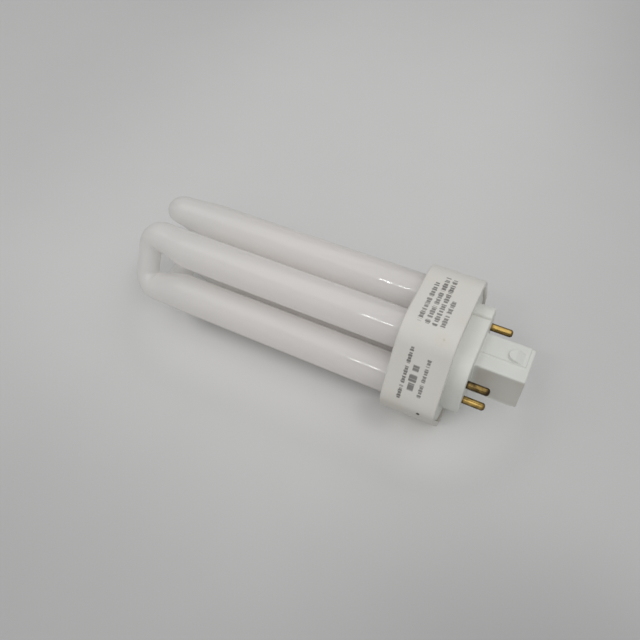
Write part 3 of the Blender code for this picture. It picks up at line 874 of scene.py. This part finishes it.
@dataclass
class DischargeVessel:
    """Three U tubes of coated glass that bridges join into one vessel."""

    layout: Layout
    bend_radius: float = 3.7 * MM
    shoulder_radius: float = 4.9 * MM
    corner_arc: float = 4.6 * MM
    spread: float = 1.2 * MM
    taper_length: float = 11.0 * MM
    root_flat: float = 3.0 * MM
    root_dome: float = 2.5 * MM
    bridge_radius: float = 2.1 * MM
    bridge_setback: float = 2.6 * MM
    bridged_limbs: tuple[tuple[int, int], ...] = ((3, 4), (5, 0))
    exhaust_limbs: tuple[int, ...] = (1, 2)
    exhaust_sink: float = 0.5 * MM
    exhaust_length: float = 3.0 * MM
    exhaust_radii: Span = (1.2 * MM, 0.45 * MM)
    sides: int = 56
    rod_sides: int = 28
    dome_steps: int = 9
    straight_steps: int = 15
    taper_steps: int = 21
    corner_steps: int = 24
    bar_steps: int = 3
    crisp_angle: float = 50.0
    off_axis: Point = (0.3, 0.9, 0.1)
    finish: CoatedGlass = field(default_factory=CoatedGlass)

    @property
    def taper_x(self) -> float:
        """Where a limb starts to narrow towards its bend."""
        bend = self.bend_radius + self.corner_arc + self.taper_length
        return self.layout.glass_tip_x + bend

    def half_stations(self) -> np.ndarray:
        """Half of a U as rows of (x, offset from its middle plane, radius).

        The root dome opens as a quarter ellipse. The limb runs straight to the taper, where the
        offset and radius ease by smoothstep. A quarter arc of x = c - a sin t and
        offset = o - a (1 - cos t) then narrows to the crossbar.

        Returns:
            Array (n, 3) from the root to the middle of the bend.
        """
        limb, half_pitch = self.layout.limb_radius, self.layout.limb_pitch / 2
        turn = quarter(self.dome_steps)
        dome = coords(
            self.layout.limb_root_x - self.root_dome * (1 - np.cos(turn)),
            half_pitch,
            self.root_flat + (limb - self.root_flat) * np.sin(turn),
        )
        run = np.linspace(dome[-1, 0], self.taper_x, self.straight_steps + 1)[1:-1]
        straight = coords(run, half_pitch, limb)
        share = np.linspace(0.0, 1.0, self.taper_steps + 1)
        eased = smoothstep(share)
        taper = coords(
            self.taper_x - self.taper_length * share,
            half_pitch + self.spread * eased,
            limb + (self.shoulder_radius - limb) * eased,
        )
        turn = quarter(self.corner_steps)[1:]
        eased = smoothstep(turn / QUARTER_TURN)
        corner = coords(
            taper[-1, 0] - self.corner_arc * np.sin(turn),
            taper[-1, 1] - self.corner_arc * (1 - np.cos(turn)),
            self.shoulder_radius + (self.bend_radius - self.shoulder_radius) * eased,
        )
        run = np.linspace(corner[-1, 1], 0.0, self.bar_steps + 1)[1:]
        bar = coords(corner[-1, 0], run, self.bend_radius)
        return np.concatenate([dome, straight, taper, corner, bar])

    def tube(self, first_limb: int) -> np.ndarray:
        """Grid of one U through two neighbouring limbs.

        Every ring lies across the path's tangent: its centre plus the radius times
        (cos p along the in-plane normal + sin p along the plane's own normal).

        Args:
            first_limb: Index of the first of the two limbs.

        Returns:
            Array (rows, sides, 3), with the two roots closed to points.
        """
        half = self.half_stations()
        stations = np.concatenate([half, half[-2::-1] * (1.0, -1.0, 1.0)])
        along, aside, radius = (stations[:, column, None] for column in range(3))
        first, second = self.layout.limb(first_limb), self.layout.limb(first_limb + 1)
        middle, outward = (first + second) / 2, (first - second) / self.layout.limb_pitch
        tangent = unit(np.gradient(stations[:, :2], axis=0))
        level = stations[:, 0] > self.taper_x
        tangent[level] = np.sign(tangent[level]) * (1.0, 0.0)
        around = full_turn(self.sides)
        in_plane, off_plane = radius * np.cos(around), radius * np.sin(around)
        x = along - tangent[:, 1:] * in_plane
        offset = aside + tangent[:, :1] * in_plane
        depth = coords(-outward[1], outward[0])
        across = middle + offset[..., None] * outward + off_plane[..., None] * depth
        rings = self.layout.place(x, across)
        ends = np.repeat(rings[[0, -1]].mean(axis=1, keepdims=True), self.sides, axis=1)
        return np.concatenate([ends[:1], rings, ends[1:]])

    def rod(self, start: np.ndarray, end: np.ndarray, radii: Sequence[float]) -> np.ndarray:
        """Grid of a round rod or cone between two points, closed at both ends."""
        axis = unit(end - start)
        side = unit(np.cross(axis, self.off_axis))
        spoke = ray(full_turn(self.rod_sides)) @ np.stack([side, np.cross(axis, side)])
        rings = ((start, 0.0), (start, radii[0]), (end, radii[1]), (end, 0.0))
        return np.stack([centre + radius * spoke for centre, radius in rings])

    def build(self) -> bpy.types.Object:
        """Sweep the tubes, add bridges and exhaust tips, and dress the vessel."""
        shell, layout = Shell(), self.layout
        for first_limb in range(0, LIMB_COUNT, 2):
            shell.grid(self.tube(first_limb))
        bridge_x = layout.limb_root_x - self.bridge_setback
        for pair in self.bridged_limbs:
            ends = [layout.place(bridge_x, layout.limb(limb)) for limb in pair]
            shell.grid(self.rod(*ends, (self.bridge_radius, self.bridge_radius)))
        for limb in self.exhaust_limbs:
            root = layout.place(layout.limb_root_x - self.exhaust_sink, layout.limb(limb))
            tip = layout.place(layout.limb_root_x + self.exhaust_length, layout.limb(limb))
            shell.grid(self.rod(root, tip, self.exhaust_radii))
        piece = shell.piece("vessel_glass", self.finish.material(layout), self.crisp_angle)
        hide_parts("discharge_vessel")
        return piece


@dataclass
class Hexagon:
    """The six-sided outline that collar and flange share: a hull round circles on the limbs."""

    layout: Layout
    arc_steps: int = 12
    flat_steps: int = 6
    inner_points: int = 33
    hole_shares: tuple[float, ...] = (0.0, 0.12, 0.6, 1.0)

    def sector(self, radius: float) -> np.ndarray:
        """Outline at limb 0 from the middle of one flat to the middle of the next.

        The arc is the radius round the limb from -30 to 30 degrees. A flat leaves it along
        its tangent for half the limb pitch.
        """
        lean = SIXTH_TURN / 2
        bow = arc((0.0, 0.0), radius, -lean, lean, self.arc_steps)
        run = np.linspace(0.0, self.layout.limb_pitch / 2, self.flat_steps + 1)[1:, None]
        after = bow[-1] + run * (-math.sin(lean), math.cos(lean))
        before = bow[0] + run * (-math.sin(lean), -math.cos(lean))
        return self.layout.limb(0) + np.concatenate([before[::-1], bow, after])

    def loop(self, radius: float, inward: float = 0.0) -> np.ndarray:
        """The whole outline, moved inwards by a distance: six turned copies of a sector."""
        part = self.sector(radius - inward)[:-1]
        return np.concatenate([turned(part, SIXTH_TURN * k) for k in range(LIMB_COUNT)])

    def round_hole(self, radius: float, hole: float, limb: int) -> np.ndarray:
        """Flat sector round one limb, from a round hole out to the sector's border.

        The border is the sector's outline and the two straight lines to the axis. A point of the
        grid is the limb's centre plus a mix of the hole's radius and the border's distance along
        the same spoke.

        Args:
            radius: The outline's corner radius.
            hole: Radius of the hole round the limb.
            limb: Index of the limb.

        Returns:
            Array (4, columns, 2) of offsets from the lamp's axis, hole first.
        """
        centre, outline = self.layout.limb(0), self.sector(radius)
        corner = math.atan2(*(outline[-1] - centre)[::-1])
        angle = np.linspace(corner, math.tau - corner, self.inner_points)[1:-1]
        lean = np.where(angle <= math.pi, 2 * SIXTH_TURN, 4 * SIXTH_TURN)
        distance = self.layout.limb_pitch / 2 / np.cos(angle - lean)
        border = np.concatenate([outline - centre, distance[:, None] * ray(angle)])
        edge = hole * unit(border)
        share = np.array(self.hole_shares)[:, None, None]
        return turned(centre + edge + share * (border - edge), SIXTH_TURN * limb)


@dataclass
class CollarHousing:
    """The six-sided collar with a socket for each limb."""

    layout: Layout
    front_wall: float = 2.5 * MM
    side_wall: float = 2.1 * MM
    rebate_wall: float = 1.7 * MM
    rebate_depth: float = 6.0 * MM
    rebate_chamfer: float = 0.15 * MM
    edge_round: float = 0.7 * MM
    rear_round: float = 0.49 * MM
    socket_radius: float = 6.4 * MM
    socket_round: float = 0.35 * MM
    crisp_angle: float = 42.0
    finish: CollarPlastic = field(default_factory=CollarPlastic)

    def skin(self, hexagon: Hexagon) -> list[Row]:
        """Rows from the front face's border over the outside and in to the front wall's back."""
        front, rear = self.layout.collar_front_x, self.layout.collar_rear_x
        outline = partial(hexagon.loop, self.layout.corner_radius)
        rebate, cavity = outline(self.rebate_wall), outline(self.side_wall)
        step = rear - self.rebate_depth
        return [
            *rim(outline, rear, front, self.edge_round)[::-1],
            *rim(outline, front, rear, self.rear_round),
            (rear, outline(self.rebate_wall - self.rebate_chamfer)),
            (rear - self.rebate_chamfer, rebate),
            (step, rebate),
            (step, cavity),
            (front + self.front_wall, cavity),
        ]

    def socket(self, shell: Shell, hexagon: Hexagon, limb: int) -> None:
        """Add one sector of the front wall's two faces, and the round mouth and bore in it."""
        layout, lip = self.layout, self.socket_round
        front, back = layout.collar_front_x, layout.collar_front_x + self.front_wall
        mouth, centre = self.socket_radius + lip, layout.limb(limb)
        face = hexagon.round_hole(layout.corner_radius - self.edge_round, mouth, limb)
        inner = layout.corner_radius - self.side_wall
        inside = hexagon.round_hole(inner, self.socket_radius, limb)
        shell.grid(layout.place(front, face))
        shell.grid(layout.place(back, inside))
        rows = [
            (
                front + lip * (1 - math.cos(a)),
                drawn_in(face[0], centre, (mouth - lip * math.sin(a)) / mouth),
            )
            for a in quarter(SMALL_ROUND_STEPS)
        ]
        shell.loft(layout, rows + [(back, inside[0])])

    def build(self, hexagon: Hexagon) -> bpy.types.Object:
        """Join the skin and the six sockets, and dress them."""
        shell = Shell()
        shell.loft(self.layout, self.skin(hexagon))
        for limb in range(LIMB_COUNT):
            self.socket(shell, hexagon, limb)
        material = self.finish.material(self.layout)
        piece = shell.piece("collar_shell", material, self.crisp_angle)
        even_normals(piece)
        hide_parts("collar_housing")
        return piece


@dataclass
class BaseCap:
    """Flange, keyed plateau and guide post with its pads and latch lugs."""

    layout: Layout
    flange_radius: float = 7.86 * MM
    flange_rear_x: float = 44.1 * MM
    flange_thickness: float = 2.0 * MM
    flange_round: float = 0.2 * MM
    skirt_depth: float = 2.6 * MM
    skirt_wall: float = 1.4 * MM
    plateau_size: Span = (30.0 * MM, 25.0 * MM)
    plateau_corner: float = 8.0 * MM
    plateau_wall: float = 1.5 * MM
    seat_plate: float = 2.2 * MM
    edge_round: float = 0.5 * MM
    key_span: Span = (6.6 * MM, 13.3 * MM)
    key_top: float = 13.7 * MM
    key_corner: float = 5.0 * MM
    key_step_round: float = 0.8 * MM
    face_centre_inset: float = 0.4 * MM
    post_length: float = 14.7 * MM
    post_width: float = 12.5 * MM
    post_half_height: float = 6.7 * MM
    post_offset: float = 0.3 * MM
    post_flare: float = 0.3 * MM
    post_edge_round: float = 0.5 * MM
    post_end_round: float = 0.4 * MM
    strip_width: float = 5.0 * MM
    pad_rise: float = 0.45 * MM
    pad_trace: float = 0.004 * MM
    pad_slope: float = 0.12 * MM
    pad_round: float = 0.12 * MM
    pad_end_span: Span = (-0.1 * MM, 0.05 * MM)
    pad_setback: float = 1.3 * MM
    lug_length: float = 5.1 * MM
    lug_width: float = 4.2 * MM
    lug_rise: float = 1.2 * MM
    lug_inset: float = 0.2 * MM
    lug_round: float = 0.22 * MM
    lug_tail_sink: float = 0.3 * MM
    lug_side_steps: int = 6
    lap: float = 0.5 * MM
    crisp_angle: float = 42.0
    finish: BasePlastic = field(default_factory=BasePlastic)

    @property
    def pad_edge(self) -> float:
        """Offset at which the strip on the post's top steps up to the pad."""
        return self.post_offset - self.post_width / 2 + self.strip_width

    def plateau_outline(self) -> np.ndarray:
        """Rounded rectangle with the key standing over its upper right corner.

        The two outlines meet where the key's corner arc leaves the plateau's: a point at a
        distance r1 from one arc's centre and r2 from the other's.
        """
        half = np.array(self.plateau_size) / 2
        low, high = self.key_span
        radius, key, step = self.plateau_corner, self.key_corner, self.key_step_round
        first, second = half - radius, np.array([high, self.key_top]) - key
        gap = np.linalg.norm(second - first)
        along = (radius ** 2 - key ** 2 + gap ** 2) / (2 * gap)
        aside = math.sqrt(radius ** 2 - along ** 2)
        toward = (second - first) / gap
        crossing = first + along * toward + aside * coords(toward[1], -toward[0])
        leave, enter = (math.atan2(*(crossing - centre)[::-1]) for centre in (first, second))
        corners = [
            arc(first * signs, radius, turn * QUARTER_TURN, (turn + 1) * QUARTER_TURN, steps=14)
            for turn, signs in enumerate(((-1, 1), (-1, -1), (1, -1)), start=1)
        ]
        return np.concatenate([
            arc(first, radius, 0.0, leave, steps=6)[:-1],
            arc(second, key, enter, QUARTER_TURN, steps=12),
            arc((low + step, self.key_top - step), step, QUARTER_TURN, math.pi, steps=5),
            [(low, half[1])],
            *corners,
        ])

    def flange(self, shell: Shell, hexagon: Hexagon) -> None:
        """Add the flange that closes the collar, with its skirt."""
        front, rear = self.flange_rear_x - self.flange_thickness, self.flange_rear_x
        skirt = front - self.skirt_depth
        outline = partial(hexagon.loop, self.flange_radius)
        inner = outline(self.skirt_wall)
        rows = cap(front, inner)[::-1] + [(front, inner), (skirt, inner), (skirt, outline(0.0))]
        rows += rim(outline, front, rear, self.flange_round)
        shell.loft(self.layout, rows + cap(rear, outline(self.flange_round)))

    def plateau(self, shell: Shell) -> None:
        """Add the plateau as a cup: its outside, the ring of its mouth and its hollow.

        Its face closes on a point that sees the whole outline, just beside the key's step.
        """
        outer = self.plateau_outline()
        half = np.array(self.plateau_size) / 2 - self.plateau_wall
        hollow = even_rectangle(half, self.plateau_corner - self.plateau_wall, len(outer))
        mouth = self.flange_rear_x - self.flange_thickness / 2
        seat, floor = self.layout.seat_x, self.layout.seat_x - self.seat_plate
        rows = cap(floor, hollow)[::-1] + [(floor, hollow), (mouth, hollow), (mouth, outer)]
        rows += rim(partial(inset, outer), mouth, seat, self.edge_round)
        centre = (self.key_span[0] + self.face_centre_inset, 0.0)
        shell.loft(self.layout, rows + cap(seat, inset(outer, self.edge_round), centre))

    def post_outline(self, pads: float) -> np.ndarray:
        """Section of the post: a rectangle whose top and underside step up to a pad.

        Args:
            pads: Height of the pads over the strips beside them.

        Returns:
            Outline (n, 2) with the same count for any pad height.
        """
        left, right = (self.post_offset + side * self.post_width / 2 for side in (-1, 1))
        low, high = self.post_half_height, self.post_half_height + pads
        step, slope = self.pad_edge, self.pad_slope
        corners = np.array([
            [right, high], [step + slope, high], [step - slope, low], [left, low],
            [left, -high], [-step - slope, -high], [-step + slope, -low], [right, -low],
        ])
        edge, foot = self.post_edge_round, self.pad_round
        return rounded_polygon(corners, [edge, foot, foot, edge] * 2, steps=5)

    def post(self, shell: Shell) -> None:
        """Add the guide post, flared at its foot and rounded at its end."""
        seat, end = self.layout.seat_x, self.layout.seat_x + self.post_length
        padded, plain = self.post_outline(self.pad_rise), self.post_outline(self.pad_trace)
        foot, flare, pad_end = seat - self.lap, self.post_flare, end - self.pad_setback
        rows = cap(foot, padded)[::-1] + [(foot, inset(padded, -flare))]
        rows += [
            (seat + flare * (1 - math.cos(a)), inset(padded, -flare * (1 - math.sin(a))))
            for a in quarter(SMALL_ROUND_STEPS)
        ]
        before, after = self.pad_end_span
        rows += [(pad_end + before, padded), (pad_end + after, plain)]
        rows += rim(partial(inset, plain), seat, end, self.post_end_round)
        centre = (self.post_offset, 0.0)
        shell.loft(self.layout, rows + cap(end, inset(plain, self.post_end_round), centre))

    def lug(self, shell: Shell, side: int) -> None:
        """Add a D-shaped latch lug, level over its round end and falling in a ramp to its tail.

        Seen from above its points are the D outline drawn towards the arc's centre. Their height
        is level up to the crest and falls in a straight line to the tail.

        Args:
            shell: The shell to add it to.
            side: 1 for the top; -1 for the underside, which is the top turned by half a turn.
        """
        radius, soft = self.lug_width / 2, self.lug_round
        end_x = self.layout.seat_x + self.post_length - self.pad_setback - self.lap
        crest, middle = end_x - self.lug_length + radius, self.pad_edge + self.lug_inset + radius
        pad = self.post_half_height + self.pad_rise
        centre = np.array([crest, middle])
        nose = arc(centre, radius, QUARTER_TURN, 3 * QUARTER_TURN, steps=24)
        tail = np.array([[end_x, middle - radius], [end_x, middle + radius]])
        run = np.linspace(0.0, 1.0, self.lug_side_steps + 1)[:, None]
        lower = nose[-1] + run[1:] * (tail[0] - nose[-1])
        upper = tail[1] + run[:-1] * (nose[0] - tail[1])
        loop = np.concatenate([nose, lower, upper])

        def top(points: np.ndarray) -> np.ndarray:
            """Height of the lug's top over the axis."""
            share = np.clip((points[:, 0] - crest) / (end_x - crest), 0.0, 1.0)
            return pad + self.lug_rise - share * (self.lug_rise + self.lug_tail_sink)

        sole = self.post_half_height - self.lap
        rows = [(drawn_in(loop, centre, share), sole) for share in (0.0, 0.5, 1.0)]
        for a in quarter(SMALL_ROUND_STEPS):
            moved = inset(loop, soft * (1 - math.cos(a)))
            rows.append((moved, top(moved) - soft * (1 - math.sin(a))))
        for share in (0.9, 0.5, 0.0):
            drawn = drawn_in(inset(loop, soft), centre, share)
            rows.append((drawn, top(drawn)))
        shell.grid(np.stack([
            coords(plan[:, 0], side * plan[:, 1], side * height + self.layout.axis_z)
            for plan, height in rows
        ]))

    def build(self, hexagon: Hexagon) -> bpy.types.Object:
        """Join the cap's forms and dress them."""
        shell = Shell()
        self.flange(shell, hexagon)
        self.plateau(shell)
        self.post(shell)
        for side in (1, -1):
            self.lug(shell, side)
        material = self.finish.material(self.layout)
        piece = shell.piece("base_moulding", material, self.crisp_angle)
        even_normals(piece)
        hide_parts("base_cap")
        return piece


@dataclass
class ContactPins:
    """Four turned pins in two rows."""

    layout: Layout
    radius: float = 1.2 * MM
    tip_round: float = 0.9 * MM
    foot_edge: float = 0.4 * MM
    head_radius: float = 1.6 * MM
    head_top: float = -2.5 * MM
    head_thickness: float = 0.8 * MM
    tail_length: float = 1.6 * MM
    sides: int = 40
    tip_steps: int = 9
    crisp_angle: float = 40.0
    finish: TarnishedBrass = field(default_factory=TarnishedBrass)

    def profile(self) -> np.ndarray:
        """Half section as (x from the seat, radius) points.

        The tip's round is a quarter circle: x = l - r (1 - cos a), radius = f + r sin a.
        """
        turn, length = quarter(self.tip_steps), self.layout.pin_length
        nose = coords(
            length - self.tip_round * (1 - np.cos(turn)),
            self.radius - self.tip_round * (1 - np.sin(turn)),
        )
        head_bottom = self.head_top - self.head_thickness
        tail = head_bottom - self.tail_length
        rest = [
            (self.foot_edge, self.radius), (0.0, self.radius), (self.head_top, self.radius),
            (self.head_top, self.head_radius), (head_bottom, self.head_radius),
            (head_bottom, self.radius), (tail, self.radius), (tail, 0.0),
        ]
        return np.concatenate([[(length, 0.0)], nose, rest])

    def build(self) -> list[bpy.types.Object]:
        """Turn the profile about each pin's axis: (x, r cos p, r sin p)."""
        layout, material = self.layout, self.finish.material(self.layout)
        profile, ring = self.profile(), ray(full_turn(self.sides))
        places = [(row, level) for row in (-1, 1) for level in (1, -1)]
        pieces = []
        for number, (row, level) in enumerate(places, start=1):
            centre = np.array([row * layout.row_span, level * layout.pair_pitch]) / 2
            offsets = centre + profile[:, 1, None, None] * ring
            shell = Shell()
            shell.grid(layout.place(layout.seat_x + profile[:, 0, None], offsets))
            piece = shell.piece(f"turned_pin_{number}", material, self.crisp_angle)
            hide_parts(f"contact_pin_{number}")
            pieces.append(piece)
        return pieces


@dataclass
class HiddenFittings:
    """Cement rings and lead wires, which keep their CAD meshes inside the collar."""

    nodes: dict[str, bpy.types.Object]
    cement: BasingCement = field(default_factory=BasingCement)
    wire: DrawnWire = field(default_factory=DrawnWire)

    def dress(self) -> list[bpy.types.Object]:
        """Give each carried-over node its finish."""
        dressed = []
        finishes = (
            ("cement_ring", self.cement.material(), Slot.CEMENT),
            ("lead_wire", self.wire.material(), Slot.WIRE),
        )
        for prefix, material, slot in finishes:
            for name in sorted(name for name in self.nodes if name.startswith(prefix)):
                node = self.nodes[name]
                node.material_slots[0].material = material
                dressed.append(node)
        return dressed


# ---------------------------------------------------------------- studio


@dataclass(frozen=True)
class Panel:
    """A soft rectangular lamp, aimed at the middle of the lit object."""

    name: str
    place: Point
    size: Span
    power: float

    def hang(self, target: Vector) -> None:
        """Add the lamp, turned towards the target with its width level."""
        light = bpy.data.lights.new(self.name, "AREA")
        light.shape = "RECTANGLE"
        light.size, light.size_y = self.size
        light.energy = self.power
        lamp = bpy.data.objects.new(self.name, light)
        lamp.location = self.place
        lamp.rotation_euler = (target - Vector(self.place)).to_track_quat("-Z", "Y").to_euler()
        lamp.visible_camera = False
        bpy.context.scene.collection.objects.link(lamp)


@dataclass
class Studio:
    """Pale floor, soft light and the camera at the photograph's angle."""

    floor_radius: float = 1.0
    floor_sides: int = 128
    dim_side: Colour = (0.31, 0.31, 0.31)
    open_side: Colour = (0.49, 0.49, 0.49)
    open_direction: Point = (0.0, -0.92, 0.39)
    opening: Span = (0.3, 0.95)
    backdrop: Colour = (0.52, 0.52, 0.52)
    panels: tuple[Panel, ...] = (
        Panel("overhead_panel", (0.10, -0.05, 0.90), (1.5, 1.5), 5.55),
        Panel("far_lamp", (-0.206, -0.62, 0.78), (0.025, 0.045), 0.115),
        Panel("middle_lamp", (-0.1685, -0.62, 0.78), (0.021, 0.045), 0.10),
        Panel("near_lamp", (-0.129, -0.62, 0.78), (0.034, 0.045), 0.165),
    )
    target: Point = (0.0, 0.0, 0.022)
    camera_place: Point = (0.059836, -0.11568, 0.180251)
    camera_axes: tuple[Point, Point, Point] = (
        (0.892792, 0.44976, -0.025276),
        (-0.338755, 0.70731, 0.620449),
        (0.296932, -0.545369, 0.783839),
    )
    lens: float = 35.65
    sensor: float = 36.0
    clip: Span = (0.01, 20.0)
    finish: PaperFloor = field(default_factory=PaperFloor)

    def floor(self) -> None:
        """Lay a flat disc as the floor, which is not part of the lamp."""
        turns = full_turn(self.floor_sides)
        corners = coords(np.cos(turns), np.sin(turns), 0.0) * self.floor_radius
        mesh = bpy.data.meshes.new("floor")
        mesh.from_pydata(corners.tolist(), [], [tuple(range(self.floor_sides))])
        mesh.materials.append(self.finish.material())
        floor = bpy.data.objects.new("floor", mesh)
        bpy.context.scene.collection.objects.link(floor)

    def light(self) -> None:
        """Hang the panels and set a world that brightens towards its open side.

        The brightness eases with the dot product of a direction and the open direction. The
        camera itself sees one pale backdrop.
        """
        for panel in self.panels:
            panel.hang(Vector(self.target))
        world = bpy.data.worlds.new("studio")
        shader = Shader(world, "Background")
        direction = Signal(shader, shader.node("ShaderNodeTexCoord").outputs["Generated"])
        settings, inputs = {"operation": "DOT_PRODUCT"}, {0: direction, 1: self.open_direction}
        aimed = shader.node("ShaderNodeVectorMath", settings, inputs)
        brightness = Signal(shader, aimed.outputs["Value"]).rise(*self.opening)
        colour = shader.mix(brightness, self.dim_side, self.open_side)
        seen = Signal(shader, shader.node("ShaderNodeLightPath").outputs["Is Camera Ray"])
        shader.feed(shader.surface.inputs["Color"], shader.mix(seen, colour, self.backdrop))
        bpy.context.scene.world = world

    def camera(self) -> None:
        """Set up the camera from its axes: right, up and back, as the columns of its turn."""
        data = bpy.data.cameras.new("view")
        data.lens, data.sensor_width = self.lens, self.sensor
        data.clip_start, data.clip_end = self.clip
        camera = bpy.data.objects.new("view", data)
        turn = Matrix(self.camera_axes).transposed().to_4x4()
        camera.matrix_world = Matrix.Translation(self.camera_place) @ turn
        bpy.context.scene.collection.objects.link(camera)
        bpy.context.scene.camera = camera

    def build(self) -> None:
        """Lay the floor, light it and place the camera."""
        self.floor()
        self.light()
        self.camera()
        bpy.context.scene.view_settings.view_transform = "Standard"


def main() -> None:
    """Build and dress the lamp, then its studio."""
    logging.basicConfig(level=logging.INFO, format="%(message)s")
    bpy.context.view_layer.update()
    layout = Layout()
    hexagon = Hexagon(layout)
    pieces = [DischargeVessel(layout).build()]
    pieces.append(CollarHousing(layout).build(hexagon))
    pieces.append(BaseCap(layout).build(hexagon))
    pieces.extend(ContactPins(layout).build())
    pieces.extend(HiddenFittings(frame["nodes"]).dress())
    for piece in pieces:
        log.info("%s: %d faces", piece.name, len(piece.data.polygons))
    Studio().build()


if __name__ == "__main__":
    main()
